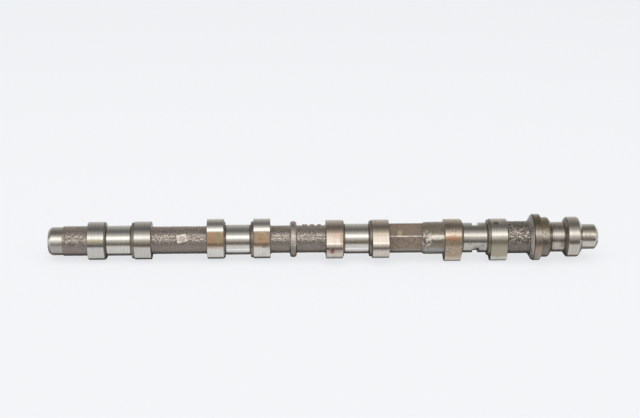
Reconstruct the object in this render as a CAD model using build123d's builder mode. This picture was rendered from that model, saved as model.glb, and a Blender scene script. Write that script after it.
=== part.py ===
"""Cast camshaft for one bank of four cylinders, with two valves worked in each cylinder.

The shaft is one casting, ground on its journals and lobes and turned at its ends. Its axis is
the X axis and the drive end points to +X. The origin is on the axis, at the shoulder where the
drive nose leaves the thrust collar. Millimetres, +Z up as the shaft lies at rest.

A roll is an angle about +X: 0 points up, 90 points to the front (-Y).
"""

from build123d import *
import os

os.makedirs("parts", exist_ok=True)

# ---------------------------------------------------------------- driving dimensions

# Lobes: a base circle and a nose circle, joined by flat flanks
base_circle_diameter = 30.3
nose_circle_radius = 10.4
nose_circle_offset = 8.2
lobe_width = 13.4
lobe_edge_chamfer = 0.5

# Each cylinder has two lobes alike, with a journal between them. The angles are those of
# one bank of an eight-cylinder vee engine, counted from the tail.
cylinder_count = 4
cylinder_pitch = 94.5
lobe_spacing = 36.8
cylinder_angles = (0, 135, 225, 270)
first_nose_roll = -115

# Journals, and the shoulders left beside the lobes
journal_diameter = 24.0
shoulder_diameter = 28.8
tail_shoulder_width = 0.9
drive_shoulder_width = 2.2
shoulder_chamfer = 0.6
relief_width = 0.8
relief_depth = 0.25

# Bars left as cast: at the tail, in the middle two gaps and at the drive end. They flare into
# the lobes' sides, as far as the side face beside them leaves room
tail_bar_diameter = 23.6
tail_bar_length = 20.0
middle_bar_diameter = 21.9
drive_bar_diameter = 25.8
drive_bar_length = 17.4
bar_root_flare = 1.2
bar_root_share = 0.8

# Parting plane of the mould, and the flash it leaves along the bars
parting_roll = 60.5
flash_width = 0.8
flash_height = 0.35

# Tail stub, turned
tail_stub_diameter = 22.4
tail_stub_length = 11.8
tail_lead_length = 2.8
tail_lead_height = 3.4

# Cast ring on the bar behind the third cylinder
ring_diameter = 28.8
ring_width = 5.2
ring_crest_chamfer = 1.2
ring_gap = 15.7

# Hexagon for the holding wrench, and the cast collar beside it
hexagon_across_flats = 22.0
hexagon_length = 26.2
hexagon_edge_round = 0.6
collar_diameter = 25.7
collar_lead_length = 2.4
collar_lead_height = 1.2

# Flange with a cast back and a ground rim, and the cast boss in front of it
flange_diameter = 37.2
flange_back_length = 3.2
flange_rim_width = 6.4
flange_back_drop = 0.4
flange_edge_chamfer = 0.6
flange_groove_width = 0.7
flange_groove_depth = 1.0
boss_diameter = 32.0
boss_width = 6.3
boss_slope_length = 3.0

# Front journal, thrust collar and drive nose
front_journal_width = 10.2
thrust_collar_diameter = 32.2
thrust_collar_width = 14.0
thrust_back_lead_length = 2.2
thrust_back_lead_height = 3.0
thrust_front_lead_length = 3.0
thrust_front_lead_height = 4.6
nose_diameter = 20.0
nose_length = 13.2
nose_lead_length = 2.4
nose_lead_height = 3.0

# Holes in the two ends: a tapped hole in the nose, at its core size, and a lathe centre
nose_thread_core_diameter = 8.5
nose_thread_depth = 28.0
nose_countersink_diameter = 11.0
tail_centre_diameter = 3.15
tail_centre_depth = 6.0
tail_centre_cone_diameter = 6.7
centre_angle = 60

# Oil supply at the last cylinder's journal: two part grooves, joined by a cross drilling
oil_groove_width = 5.0
oil_groove_depth = 1.9
oil_groove_arc = 80
oil_groove_roll = -21
oil_hole_diameter = 2.4
oil_hole_roll = 119
oil_hole_offset = 1.2

# Plain raised pad on the bar of the second gap, beside the parting line
pad_length = 8.4
pad_width = 6.6
pad_height = 0.7
pad_skew = 12
pad_roll = 63
pad_to_lobe = 19.8

# Three plain raised strips across the bar of the third gap
strip_lengths = (4.0, 3.4, 2.6)
strip_pitch = 5.7
strip_width = 7.0
strip_height = 0.8
strip_roll = -21
strips_to_lobe = 11.0

# ---------------------------------------------------------------- radii and stations

journal_radius = journal_diameter / 2
shoulder_radius = shoulder_diameter / 2
middle_bar_radius = middle_bar_diameter / 2
lobe_side_radius = base_circle_diameter / 2 - lobe_edge_chamfer
half_lobe = lobe_width / 2
half_spacing = lobe_spacing / 2
half_journal = half_spacing - half_lobe

thrust_back = -thrust_collar_width
front_journal_start = thrust_back - front_journal_width
boss_slope_start = front_journal_start - boss_slope_length
boss_start = boss_slope_start - boss_width
rim_start = boss_start - flange_rim_width
flange_start = rim_start - flange_back_length

last_cylinder = flange_start - drive_bar_length - half_lobe - half_spacing
cylinder_stations = [
    last_cylinder - cylinder_pitch * (cylinder_count - 1 - number) for number in range(cylinder_count)
]
lobe_stations = [station + side * half_spacing for station in cylinder_stations for side in (-1, 1)]
lobe_rolls = [first_nose_roll + angle for angle in cylinder_angles for _ in range(2)]

tail_bar_start = lobe_stations[0] - half_lobe - tail_bar_length
tail_end = tail_bar_start - tail_stub_length
ring_centre = lobe_stations[3] + half_lobe + ring_gap + ring_width / 2
hexagon_start = lobe_stations[5] + half_lobe
collar_start = hexagon_start + hexagon_length


def turned(*outline, mode=Mode.ADD, start_roll=0, arc=360):
    """Turn a closed half outline of (x, radius) points about the shaft's axis."""
    section = Plane.XZ if start_roll == 0 else Plane.XZ.rotated((start_roll, 0, 0))
    with BuildSketch(section) as half_section:
        with BuildLine():
            Polyline(*outline, close=True)
        make_face()
    revolve(half_section.sketch, axis=Axis.X, revolution_arc=arc, mode=mode)


def round_bar(start, end, diameter):
    """Lay a plain round bar along the axis, from one station to another."""
    turned((start, 0), (start, diameter / 2), (end, diameter / 2), (end, 0))


def relief(start):
    """Cut the shallow groove in which the grinding wheel runs out, from its tail side."""
    end = start + relief_width
    floor = journal_radius - relief_depth
    over = journal_radius + relief_depth
    turned((start, floor), (start, over), (end, over), (end, floor), mode=Mode.SUBTRACT)


def on_surface(station, roll, radius):
    """Give a place on a cylinder round the axis, with its local Z pointing straight out."""
    return Location((station, 0, 0), (roll, 0, 0)) * Location((0, 0, radius))


# ---------------------------------------------------------------- one lobe, nose upwards

with BuildPart() as lobe:
    with BuildSketch(Plane.YZ.offset(-half_lobe)):
        Circle(base_circle_diameter / 2)
        with Locations((0, nose_circle_offset)):
            Circle(nose_circle_radius)
        make_hull()
    extrude(amount=lobe_width)
    chamfer(lobe.faces().filter_by(Axis.X).edges(), lobe_edge_chamfer)

# ---------------------------------------------------------------- the camshaft

with BuildPart() as camshaft:
    # Bars as cast
    round_bar(tail_bar_start, lobe_stations[0], tail_bar_diameter)
    round_bar(lobe_stations[1], lobe_stations[2], middle_bar_diameter)
    round_bar(lobe_stations[3], lobe_stations[4], middle_bar_diameter)
    round_bar(lobe_stations[7], rim_start, drive_bar_diameter)

    # Lobes
    for station, roll in zip(lobe_stations, lobe_rolls):
        with Locations(Location((station, 0, 0), (roll, 0, 0))):
            add(lobe.part)

    # The bars flare out into the lobes' sides
    bar_ends = (
        (lobe_stations[0] - half_lobe, tail_bar_diameter),
        (lobe_stations[1] + half_lobe, middle_bar_diameter),
        (lobe_stations[2] - half_lobe, middle_bar_diameter),
        (lobe_stations[3] + half_lobe, middle_bar_diameter),
        (lobe_stations[4] - half_lobe, middle_bar_diameter),
        (lobe_stations[7] + half_lobe, drive_bar_diameter),
    )
    for side_face, diameter in bar_ends:
        rounds = camshaft.edges().filter_by(GeomType.CIRCLE)
        at_face = rounds.filter_by_position(Axis.X, side_face - 0.01, side_face + 0.01)
        flare = min(bar_root_flare, bar_root_share * (lobe_side_radius - diameter / 2))
        chamfer(at_face.filter_by(lambda edge: abs(edge.radius - diameter / 2) < 0.01), flare)

    # Journals between the lobes of each cylinder, with a shoulder against each lobe
    for centre in cylinder_stations:
        round_bar(centre - half_journal, centre + half_journal, journal_diameter)
        tail_foot = centre - half_journal + tail_shoulder_width
        drive_foot = centre + half_journal - drive_shoulder_width
        for side, foot in ((-1, tail_foot), (1, drive_foot)):
            face = centre + side * half_journal
            turned(
                (face, 0),
                (face, shoulder_radius),
                (foot + side * shoulder_chamfer, shoulder_radius),
                (foot, shoulder_radius - shoulder_chamfer),
                (foot, 0),
            )
        relief(tail_foot)
        relief(drive_foot - relief_width)

    # Cast ring with a bevelled crest
    with BuildSketch(Plane.XZ) as ring_section:
        with Locations((ring_centre, ring_diameter / 4)):
            Rectangle(ring_width, ring_diameter / 2)
        chamfer(ring_section.vertices().group_by(Axis.Y)[-1], ring_crest_chamfer)
    revolve(axis=Axis.X)

    # Hexagon, with two of its corners on the parting plane
    with BuildSketch(Plane.YZ.offset(hexagon_start)) as hexagon_section:
        RegularPolygon(
            hexagon_across_flats / 2, side_count=6, major_radius=False, rotation=90 + parting_roll
        )
        fillet(hexagon_section.vertices(), hexagon_edge_round)
    extrude(amount=hexagon_length)

    # Cast collar between the hexagon and the last cylinder
    collar_radius = collar_diameter / 2
    turned(
        (collar_start, 0),
        (collar_start, collar_radius - collar_lead_height),
        (collar_start + collar_lead_length, collar_radius),
        (lobe_stations[6], collar_radius),
        (lobe_stations[6], 0),
    )

    # Tail stub
    tail_radius = tail_stub_diameter / 2
    turned(
        (tail_end, 0),
        (tail_end, tail_radius - tail_lead_height),
        (tail_end + tail_lead_length, tail_radius),
        (tail_bar_start, tail_radius),
        (tail_bar_start, 0),
    )

    # Flange, its groove and its rim
    flange_radius = flange_diameter / 2
    groove_floor = flange_radius - flange_groove_depth
    turned(
        (flange_start, 0),
        (flange_start, drive_bar_diameter / 2),
        (rim_start, flange_radius - flange_back_drop),
        (rim_start, groove_floor),
        (rim_start + flange_groove_width, groove_floor),
        (rim_start + flange_groove_width, flange_radius),
        (boss_start - flange_edge_chamfer, flange_radius),
        (boss_start, flange_radius - flange_edge_chamfer),
        (boss_start, 0),
    )

    # Boss in front of the flange, sloping down to the front journal
    turned(
        (boss_start, 0),
        (boss_start, boss_diameter / 2),
        (boss_slope_start, boss_diameter / 2),
        (front_journal_start, journal_radius),
        (front_journal_start, 0),
    )

    # Front journal and thrust collar
    round_bar(front_journal_start, thrust_back, journal_diameter)
    relief(front_journal_start)
    relief(thrust_back - relief_width)
    thrust_radius = thrust_collar_diameter / 2
    turned(
        (thrust_back, 0),
        (thrust_back, thrust_radius - thrust_back_lead_height),
        (thrust_back + thrust_back_lead_length, thrust_radius),
        (-thrust_front_lead_length, thrust_radius),
        (0, thrust_radius - thrust_front_lead_height),
        (0, 0),
    )

    # Drive nose
    nose_radius = nose_diameter / 2
    turned(
        (0, 0),
        (0, nose_radius),
        (nose_length - nose_lead_length, nose_radius),
        (nose_length, nose_radius - nose_lead_height),
        (nose_length, 0),
    )

    # Tapped hole in the nose and lathe centre in the tail
    with Locations(Plane(origin=(nose_length, 0, 0), z_dir=(1, 0, 0))):
        CounterSinkHole(
            nose_thread_core_diameter / 2, nose_countersink_diameter / 2, nose_thread_depth, centre_angle
        )
    with Locations(Plane(origin=(tail_end, 0, 0), z_dir=(-1, 0, 0))):
        CounterSinkHole(
            tail_centre_diameter / 2, tail_centre_cone_diameter / 2, tail_centre_depth, centre_angle
        )

    # Oil grooves on opposite sides of the last cylinder's journal, and their cross drilling
    groove_start = cylinder_stations[3] - oil_groove_width / 2
    groove_end = cylinder_stations[3] + oil_groove_width / 2
    for opposite in (0, 180):
        turned(
            (groove_start, journal_radius - oil_groove_depth),
            (groove_start, journal_radius + oil_groove_depth),
            (groove_end, journal_radius + oil_groove_depth),
            (groove_end, journal_radius - oil_groove_depth),
            mode=Mode.SUBTRACT,
            start_roll=oil_groove_roll + opposite - oil_groove_arc / 2,
            arc=oil_groove_arc,
        )
    with Locations(on_surface(cylinder_stations[3] + oil_hole_offset, oil_hole_roll, journal_radius)):
        Hole(oil_hole_diameter / 2, journal_diameter)

    # Flash along the parting line of each bar
    flash_runs = (
        (tail_bar_start, lobe_stations[0] - half_lobe, tail_bar_diameter),
        (lobe_stations[1] + half_lobe, lobe_stations[2] - half_lobe, middle_bar_diameter),
        (lobe_stations[3] + half_lobe, lobe_stations[4] - half_lobe, middle_bar_diameter),
        (lobe_stations[7] + half_lobe, flange_start, drive_bar_diameter),
    )
    for start, end, diameter in flash_runs:
        for roll in (parting_roll, parting_roll + 180):
            with Locations(on_surface((start + end) / 2, roll, diameter / 2)):
                Box(end - start, flash_width, 2 * flash_height)

    # Raised pad
    pad_station = lobe_stations[2] - half_lobe - pad_to_lobe
    pad_plane = Plane(on_surface(pad_station, pad_roll, middle_bar_radius + pad_height))
    with BuildSketch(pad_plane):
        Rectangle(pad_length, pad_width, rotation=pad_skew)
    extrude(amount=-3 * pad_height)

    # Raised strips
    strip_middle = lobe_stations[4] - half_lobe - strips_to_lobe
    for number, length in enumerate(strip_lengths):
        station = strip_middle + (number - 1) * strip_pitch
        with BuildSketch(Plane(on_surface(station, strip_roll, middle_bar_radius + strip_height))):
            RectangleRounded(length, strip_width, length / 4)
        extrude(amount=-3 * strip_height)

camshaft.part.label = "camshaft"
export_step(camshaft.part, "parts/camshaft.step")
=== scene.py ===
"""A used cast camshaft for one bank of four cylinders, dressed and set out in a small studio.

The shaft is one casting. Its journals, lobes and ends are ground or turned, and its bars, ring,
hexagon and collar keep the skin of the casting. Sizes are in millimetres in the classes below and
become metres when the piece is finished. The shaft's axis is the X axis.

A roll is an angle about +X: 0 points up, 90 points to the front (-Y).
"""

import logging
import math
from dataclasses import dataclass
from enum import Enum
from typing import Iterable, Optional, Sequence, Union

import bmesh
import bpy
from mathutils import Matrix, Vector, noise

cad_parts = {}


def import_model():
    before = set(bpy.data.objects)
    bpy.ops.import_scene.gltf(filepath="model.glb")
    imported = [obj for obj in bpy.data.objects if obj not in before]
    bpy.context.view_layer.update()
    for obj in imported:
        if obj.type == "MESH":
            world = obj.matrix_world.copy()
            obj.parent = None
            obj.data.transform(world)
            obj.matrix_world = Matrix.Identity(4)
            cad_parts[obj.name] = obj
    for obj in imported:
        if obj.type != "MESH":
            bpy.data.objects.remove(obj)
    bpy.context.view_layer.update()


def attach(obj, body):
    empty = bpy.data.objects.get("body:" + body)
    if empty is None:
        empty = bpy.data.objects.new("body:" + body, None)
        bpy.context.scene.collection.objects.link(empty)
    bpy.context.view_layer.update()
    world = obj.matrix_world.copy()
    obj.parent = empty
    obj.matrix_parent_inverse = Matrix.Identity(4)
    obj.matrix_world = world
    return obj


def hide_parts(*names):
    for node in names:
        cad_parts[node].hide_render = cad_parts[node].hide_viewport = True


log = logging.getLogger("camshaft")

Colour = tuple[float, float, float]
Socket = bpy.types.NodeSocket
Feed = Union[Socket, float, Colour, Vector]
Mesh = bmesh.types.BMesh

MM = 0.001
ACROSS = Matrix.Rotation(math.radians(90.0), 4, "Y")


class Skin(Enum):
    """The finishes that the shaft carries, in the order of its material slots."""

    CAST = 0
    JOURNAL = 1
    TURNED = 2
    SIDE = 3
    LOBES_TAIL = 4
    LOBES_TAN = 5
    LOBES_CREAM = 6
    LOBE_ORANGE = 7
    LOBE_KHAKI = 8
    HEXAGON = 9
    FLANGE = 10
    BORE = 11
    JOURNAL_OILED = 12
    JOURNAL_FRONT = 13
    PAD = 14
    COLLAR = 15
    NOSE = 16
    RIM = 17
    BOSS = 18
    GROOVE = 19
    DRIVE_BAR = 20


def roll_matrix(roll: float) -> Matrix:
    """Give the turn about the shaft's axis that carries "up" to a roll in degrees."""
    return Matrix.Rotation(math.radians(roll), 3, "X")


def roll_of(place: Vector) -> float:
    """Give the roll of a place in degrees, from -180 to 180."""
    return math.degrees(math.atan2(-place.y, place.z))


def off_axis(place: Vector) -> float:
    """Give how far a place is from the shaft's axis."""
    return math.hypot(place.y, place.z)


def smoothed(value: float, low: float, high: float) -> float:
    """Ease a value from 0 at low to 1 at high.

    Args:
        value: The value to ease.
        low: Where the result leaves 0.
        high: Where the result reaches 1.

    Returns:
        A number from 0 to 1.
    """
    share = min(max((value - low) / (high - low), 0.0), 1.0)
    return share * share * (3.0 - 2.0 * share)


def shade(colour: Colour, share: float) -> Colour:
    """Give a colour darkened to a share of itself."""
    return tuple(channel * share for channel in colour)


# ---------------------------------------------------------------- node benches


class Bench:
    """A short hand for laying out one node tree."""

    def __init__(self, tree: bpy.types.NodeTree) -> None:
        """Take the tree that the nodes go into."""
        self.tree = tree

    def node(self, kind: str, feeds: Optional[dict] = None, **settings: object) -> bpy.types.Node:
        """Add one node.

        Args:
            kind: The node's type.
            feeds: What goes into its inputs, by name or number.
            **settings: Properties to set on it.

        Returns:
            The node.
        """
        made = self.tree.nodes.new(kind)
        for name, value in settings.items():
            setattr(made, name, value)
        for name, value in (feeds or {}).items():
            self.feed(made.inputs[name], value)
        return made

    def feed(self, socket: Socket, value: Feed) -> None:
        """Link a socket to another one, or set its own value.

        Args:
            socket: The socket.
            value: The other one, or the value.
        """
        if isinstance(value, bpy.types.NodeSocket):
            self.tree.links.new(value, socket)
        elif socket.type == "RGBA":
            socket.default_value = (*value, 1.0)
        else:
            socket.default_value = value

    def maths(self, operation: str, first: Feed, second: Feed) -> Socket:
        """Add a Math node and give its result."""
        return self.node("ShaderNodeMath", {0: first, 1: second}, operation=operation).outputs[0]

    def times(self, first: Feed, second: Feed) -> Socket:
        """Multiply two values."""
        return self.maths("MULTIPLY", first, second)

    def plus(self, first: Feed, second: Feed) -> Socket:
        """Add two values."""
        return self.maths("ADD", first, second)

    def vector(self, operation: str, first: Feed, second: Feed = (0.0, 0.0, 0.0)) -> Socket:
        """Add a Vector Math node and give its vector, or its value for a length or a dot product."""
        made = self.node("ShaderNodeVectorMath", {0: first, 1: second}, operation=operation)
        return made.outputs["Value" if operation in ("LENGTH", "DOT_PRODUCT") else "Vector"]

    def ramp(self, value: Feed, low: Feed, high: Feed, to_low: float = 0.0, to_high: float = 1.0) -> Socket:
        """Ease a value between two limits with a Map Range node.

        Args:
            value: What to ease.
            low: Where the result is to_low.
            high: Where the result is to_high.
            to_low: The first result.
            to_high: The last result.

        Returns:
            The eased value.
        """
        names = ("Value", "From Min", "From Max", "To Min", "To Max")
        feeds = dict(zip(names, (value, low, high, to_low, to_high)))
        return self.node("ShaderNodeMapRange", feeds, interpolation_type="SMOOTHSTEP").outputs["Result"]

    def blend(self, share: Feed, first: Feed, second: Feed) -> Socket:
        """Mix two colours by a share."""
        return self.node("ShaderNodeMix", {0: share, 6: first, 7: second}, data_type="RGBA").outputs[2]

    def speckle(self, place: Feed, scale: Feed, detail: float, rough: float) -> Socket:
        """Add a noise texture and give its value."""
        feeds = {"Vector": place, "Scale": scale, "Detail": detail, "Roughness": rough}
        return self.node("ShaderNodeTexNoise", feeds, noise_dimensions="3D").outputs["Fac"]

    def group(self, effect: bpy.types.NodeTree, **values: Feed) -> bpy.types.NodeOutputs:
        """Place a shared effect with values by input name, and give its results."""
        return self.node("ShaderNodeGroup", values, node_tree=effect).outputs


def new_effect(
    name: str, vectors: Sequence[str], values: Sequence[str], results: Sequence[str]
) -> tuple[bpy.types.NodeTree, Bench, bpy.types.NodeOutputs, bpy.types.NodeInputs]:
    """Start a shared effect.

    Args:
        name: The group's name.
        vectors: Names of its vector inputs.
        values: Names of its value inputs.
        results: Names of its outputs, each a value.

    Returns:
        The group, a bench for it, what it is given and what it gives out.
    """
    tree = bpy.data.node_groups.new(name, "ShaderNodeTree")
    for labels, kind in ((vectors, "Vector"), (values, "Float")):
        for label in labels:
            tree.interface.new_socket(label, in_out="INPUT", socket_type=f"NodeSocket{kind}")
    for label in results:
        tree.interface.new_socket(label, in_out="OUTPUT", socket_type="NodeSocketFloat")
    bench = Bench(tree)
    return tree, bench, bench.node("NodeGroupInput").outputs, bench.node("NodeGroupOutput").inputs


class Effects:
    """The shader effects that several finishes share."""

    def __init__(self) -> None:
        """Build each effect once."""
        self.grain = self._casting_grain()
        self.lines = self._grinding_lines()
        self.patch = self._wear_and_light_patch()
        self.film = self._oil_film()
        self.rings = self._facing_rings()

    def _casting_grain(self) -> bpy.types.NodeTree:
        """Sand-cast skin: bumps, pits and slow mottling.

        Returns:
            The node group.
        """
        results = ("Height", "Pits", "Mottle")
        tree, bench, given, out = new_effect("casting_grain", ("Place",), ("Scale",), results)
        place, scale = given["Place"], given["Scale"]
        fine = bench.speckle(place, scale, detail=3.0, rough=0.62)
        grit = bench.speckle(place, bench.times(scale, 2.6), detail=2.0, rough=0.5)
        slow = bench.speckle(place, bench.times(scale, 0.16), detail=4.0, rough=0.6)
        feeds = {"Vector": place, "Scale": bench.times(scale, 0.75)}
        cells = bench.node("ShaderNodeTexVoronoi", feeds, feature="F1")
        pits = bench.ramp(cells.outputs["Distance"], 0.42, 0.16)
        holes = bench.times(pits, bench.ramp(slow, 0.42, 0.60))
        bumps = bench.plus(bench.times(fine, 0.72), bench.times(grit, 0.28))
        bench.feed(out["Height"], bench.maths("SUBTRACT", bumps, bench.times(holes, 0.35)))
        bench.feed(out["Pits"], holes)
        bench.feed(out["Mottle"], slow)
        return tree

    def _grinding_lines(self) -> bpy.types.NodeTree:
        """Lines round the shaft, as a grinding wheel or a lathe tool leaves.

        Returns:
            The node group.
        """
        results = ("Lines", "Bands")
        tree, bench, given, out = new_effect("grinding_lines", ("Place",), ("Fineness",), results)
        split = bench.node("ShaderNodeSeparateXYZ", {0: given["Place"]})
        for label, share, cross in (("Lines", 1.0, 14.0), ("Bands", 0.13, 5.0)):
            along = bench.times(given["Fineness"], share)
            scales = enumerate((along, cross, cross))
            feeds = {axis: bench.times(split.outputs[axis], scale) for axis, scale in scales}
            stretched = bench.node("ShaderNodeCombineXYZ", feeds)
            bench.feed(out[label], bench.speckle(stretched.outputs[0], 1.0, detail=3.0, rough=0.55))
        return tree

    def _facing_rings(self) -> bpy.types.NodeTree:
        """Rings about the axis on a face turned square to it.

        Returns:
            The node group.
        """
        tree, bench, given, out = new_effect("facing_rings", ("Place",), ("Fineness",), ("Rings",))
        away = bench.vector("LENGTH", bench.vector("MULTIPLY", given["Place"], (0.0, 1.0, 1.0)))
        reach = bench.node("ShaderNodeCombineXYZ", {0: bench.times(away, given["Fineness"])})
        bench.feed(out["Rings"], bench.speckle(reach.outputs[0], 1.0, detail=3.0, rough=0.6))
        return tree

    def _wear_and_light_patch(self) -> bpy.types.NodeTree:
        """A ragged patch about a point, sized by a spread along each axis.

        Returns:
            The node group.
        """
        vectors, values = ("Place", "Centre", "Spread"), ("Ragged", "Soft")
        tree, bench, given, out = new_effect("wear_and_light_patch", vectors, values, ("Mask",))
        away = bench.vector("SUBTRACT", given["Place"], given["Centre"])
        reach = bench.vector("LENGTH", bench.vector("DIVIDE", away, given["Spread"]))
        edge = bench.speckle(given["Place"], 420.0, detail=4.0, rough=0.65)
        shaken = bench.plus(reach, bench.times(bench.maths("SUBTRACT", edge, 0.5), given["Ragged"]))
        outer, inner = bench.plus(1.0, given["Soft"]), bench.maths("SUBTRACT", 1.0, given["Soft"])
        bench.feed(out["Mask"], bench.ramp(shaken, outer, inner))
        return tree

    def _oil_film(self) -> bpy.types.NodeTree:
        """Thin, uneven stains of old oil.

        Returns:
            The node group.
        """
        tree, bench, given, out = new_effect("oil_film", ("Place",), ("Scale", "Share"), ("Mask",))
        cloud = bench.speckle(given["Place"], given["Scale"], detail=5.0, rough=0.62)
        low = bench.maths("SUBTRACT", 0.72, bench.times(given["Share"], 0.42))
        bench.feed(out["Mask"], bench.ramp(cloud, low, bench.plus(low, 0.22)))
        return tree


# ---------------------------------------------------------------- finishes


@dataclass(frozen=True)
class Patch:
    """One local patch of colour: where it lies, how far it spreads and what it looks like. Some are stains
    and wear, and others are painted highlights, reflections and shade, as noted where they are listed.
    """

    station: float
    roll: float
    radius: float
    spread: tuple[float, float]
    colour: Colour
    share: float = 0.8
    ragged: float = 0.6
    soft: float = 0.25
    on_flank: bool = False

    def mask(self, bench: Bench, effects: Effects, place: Socket) -> Socket:
        """Give where the patch lies, times its share. One on a flank keeps to that flat.

        Args:
            bench: Where the nodes go.
            effects: The shared effects.
            place: The object coordinates.

        Returns:
            The mask.
        """
        out = roll_matrix(self.roll) @ Vector((0.0, 0.0, 1.0))
        centre = out * self.radius + Vector((self.station, 0.0, 0.0))
        along, across = self.spread
        spread = Vector((along, across, across)) * MM
        soft = {"Ragged": self.ragged, "Soft": self.soft}
        laid = bench.group(effects.patch, Place=place, Centre=centre * MM, Spread=spread, **soft)
        mask = bench.times(laid["Mask"], self.share)
        if not self.on_flank:
            return mask
        height = bench.vector("DOT_PRODUCT", place, out)
        return bench.times(mask, bench.ramp(height, (self.radius - 0.10) * MM, (self.radius - 0.02) * MM))


def start_material(name: str) -> tuple[bpy.types.Material, Bench, bpy.types.Node, Socket]:
    """Start a material with its shader and its place on the object.

    Args:
        name: The material's name.

    Returns:
        The material, a bench for it, its Principled BSDF and the object coordinates.
    """
    made = bpy.data.materials.new(name)
    made.use_nodes = True
    made.node_tree.nodes.clear()
    bench = Bench(made.node_tree)
    shader = bench.node("ShaderNodeBsdfPrincipled")
    bench.node("ShaderNodeOutputMaterial", {"Surface": shader.outputs["BSDF"]})
    return made, bench, shader, bench.node("ShaderNodeTexCoord").outputs["Object"]


def finish_shader(
    bench: Bench, shader: bpy.types.Node, tone: Socket, rough: Socket, metallic: float, relief: tuple
) -> None:
    """Feed a metal's shader.

    Args:
        bench: Where the nodes go.
        shader: The Principled BSDF.
        tone: Its colour.
        rough: Its roughness.
        metallic: How metallic it is.
        relief: The bump's height, strength and distance.
    """
    bump = bench.node("ShaderNodeBump", dict(zip(("Height", "Strength", "Distance"), relief)))
    feeds = {"Base Color": tone, "Roughness": rough, "Metallic": metallic, "Normal": bump.outputs["Normal"]}
    for name, value in feeds.items():
        bench.feed(shader.inputs[name], value)


@dataclass(frozen=True)
class GroundFinish:
    """Ground or turned metal, with its lines, its oil stains and its own patches."""

    name: str
    metal: Colour
    film: Colour
    film_share: float
    roughness: float
    line_depth: float = 0.5
    fineness: float = 5200.0
    patches: tuple[Patch, ...] = ()
    grit: tuple[Patch, ...] = ()

    def material(self, effects: Effects) -> bpy.types.Material:
        """Make the material.

        Args:
            effects: The shared effects.

        Returns:
            The material.
        """
        made, bench, shader, place = start_material(self.name)
        lines = bench.group(effects.lines, Place=place, Fineness=self.fineness)
        film = bench.group(effects.film, Place=place, Scale=95.0, Share=self.film_share)["Mask"]
        dust = bench.group(effects.film, Place=place, Scale=900.0, Share=0.18)["Mask"]
        tone = bench.blend(bench.ramp(lines["Lines"], 0.30, 0.66), shade(self.metal, 0.74), self.metal)
        tone = bench.blend(bench.times(film, 0.75), tone, self.film)
        tone = bench.blend(bench.times(dust, 0.6), tone, shade(self.film, 0.45))
        rough = bench.ramp(lines["Bands"], 0.30, 0.70, self.roughness * 0.85, self.roughness * 1.2)
        rough = bench.plus(rough, bench.times(film, 0.10))
        for patch in self.patches:
            mask = patch.mask(bench, effects, place)
            tone = bench.blend(mask, tone, patch.colour)
            rough = bench.plus(rough, bench.times(mask, 0.12))
        specks = bench.ramp(bench.speckle(place, 1250.0, 2.0, 0.6), 0.49, 0.58) if self.grit else None
        for patch in self.grit:
            tone = bench.blend(bench.times(specks, patch.mask(bench, effects, place)), tone, patch.colour)
        rough = bench.plus(rough, bench.times(dust, 0.2))
        finish_shader(bench, shader, tone, rough, 1.0, (lines["Lines"], self.line_depth, 0.00002))
        return made


@dataclass(frozen=True)
class CastFinish:
    """The rough skin of the casting: dark oxide, worn grey on its high spots."""

    name: str
    dark: Colour
    light: Colour
    rust: Colour
    rust_share: float
    roughness: float
    scale: float
    depth: float
    distance: float
    metallic: float
    pitting: float = 0.5
    glints: Optional[Patch] = None
    patches: tuple[Patch, ...] = ()

    def material(self, effects: Effects) -> bpy.types.Material:
        """Make the material.

        Args:
            effects: The shared effects.

        Returns:
            The material.
        """
        made, bench, shader, place = start_material(self.name)
        grain = bench.group(effects.grain, Place=place, Scale=self.scale)
        film = bench.group(effects.film, Place=place, Scale=140.0, Share=self.rust_share)["Mask"]
        tone = bench.blend(bench.ramp(grain["Height"], 0.30, 0.66), self.dark, self.light)
        tone = bench.blend(bench.times(film, 0.7), tone, self.rust)
        tone = bench.blend(bench.times(grain["Pits"], self.pitting), tone, shade(self.dark, 0.5))
        rough = bench.ramp(grain["Mottle"], 0.35, 0.65, self.roughness * 0.85, self.roughness * 1.15)
        # Glints: the glints colour on the grain's high spots inside the glints patch. Where that patch runs
        # along the lit band, this is worn high spots and a painted highlight at once.
        if self.glints:
            high = bench.ramp(grain["Height"], 0.46, 0.56)
            high = bench.times(high, self.glints.mask(bench, effects, place))
            tone = bench.blend(high, tone, self.glints.colour)
        for patch in self.patches:
            tone = bench.blend(patch.mask(bench, effects, place), tone, patch.colour)
        relief = (grain["Height"], self.depth, self.distance)
        finish_shader(bench, shader, tone, rough, self.metallic, relief)
        return made


@dataclass(frozen=True)
class FacedFinish:
    """Side faces, turned square to the axis or left dull beside the ground parts."""

    name: str
    metal: Colour
    grime: Colour
    roughness: float

    def material(self, effects: Effects) -> bpy.types.Material:
        """Make the material.

        Args:
            effects: The shared effects.

        Returns:
            The material.
        """
        made, bench, shader, place = start_material(self.name)
        rings = bench.group(effects.rings, Place=place, Fineness=2600.0)["Rings"]
        film = bench.group(effects.film, Place=place, Scale=160.0, Share=0.55)["Mask"]
        tone = bench.blend(bench.ramp(rings, 0.35, 0.65), shade(self.metal, 0.6), self.metal)
        tone = bench.blend(bench.times(film, 0.8), tone, self.grime)
        rough = bench.ramp(film, 0.0, 1.0, self.roughness, self.roughness + 0.12)
        finish_shader(bench, shader, tone, rough, 0.9, (rings, 0.35, 0.00004))
        return made


WARM_STEEL: Colour = (0.60, 0.555, 0.50)
# Worn bare iron for the glints, laid only along the lit band, so also a painted highlight.
BARE_IRON_AND_SHEEN: Colour = (0.66, 0.60, 0.55)
OXIDE: Colour = (0.20, 0.168, 0.146)
CAST_GREY: Colour = (0.36, 0.312, 0.276)
CAST_RUST: Colour = (0.27, 0.205, 0.163)

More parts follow.
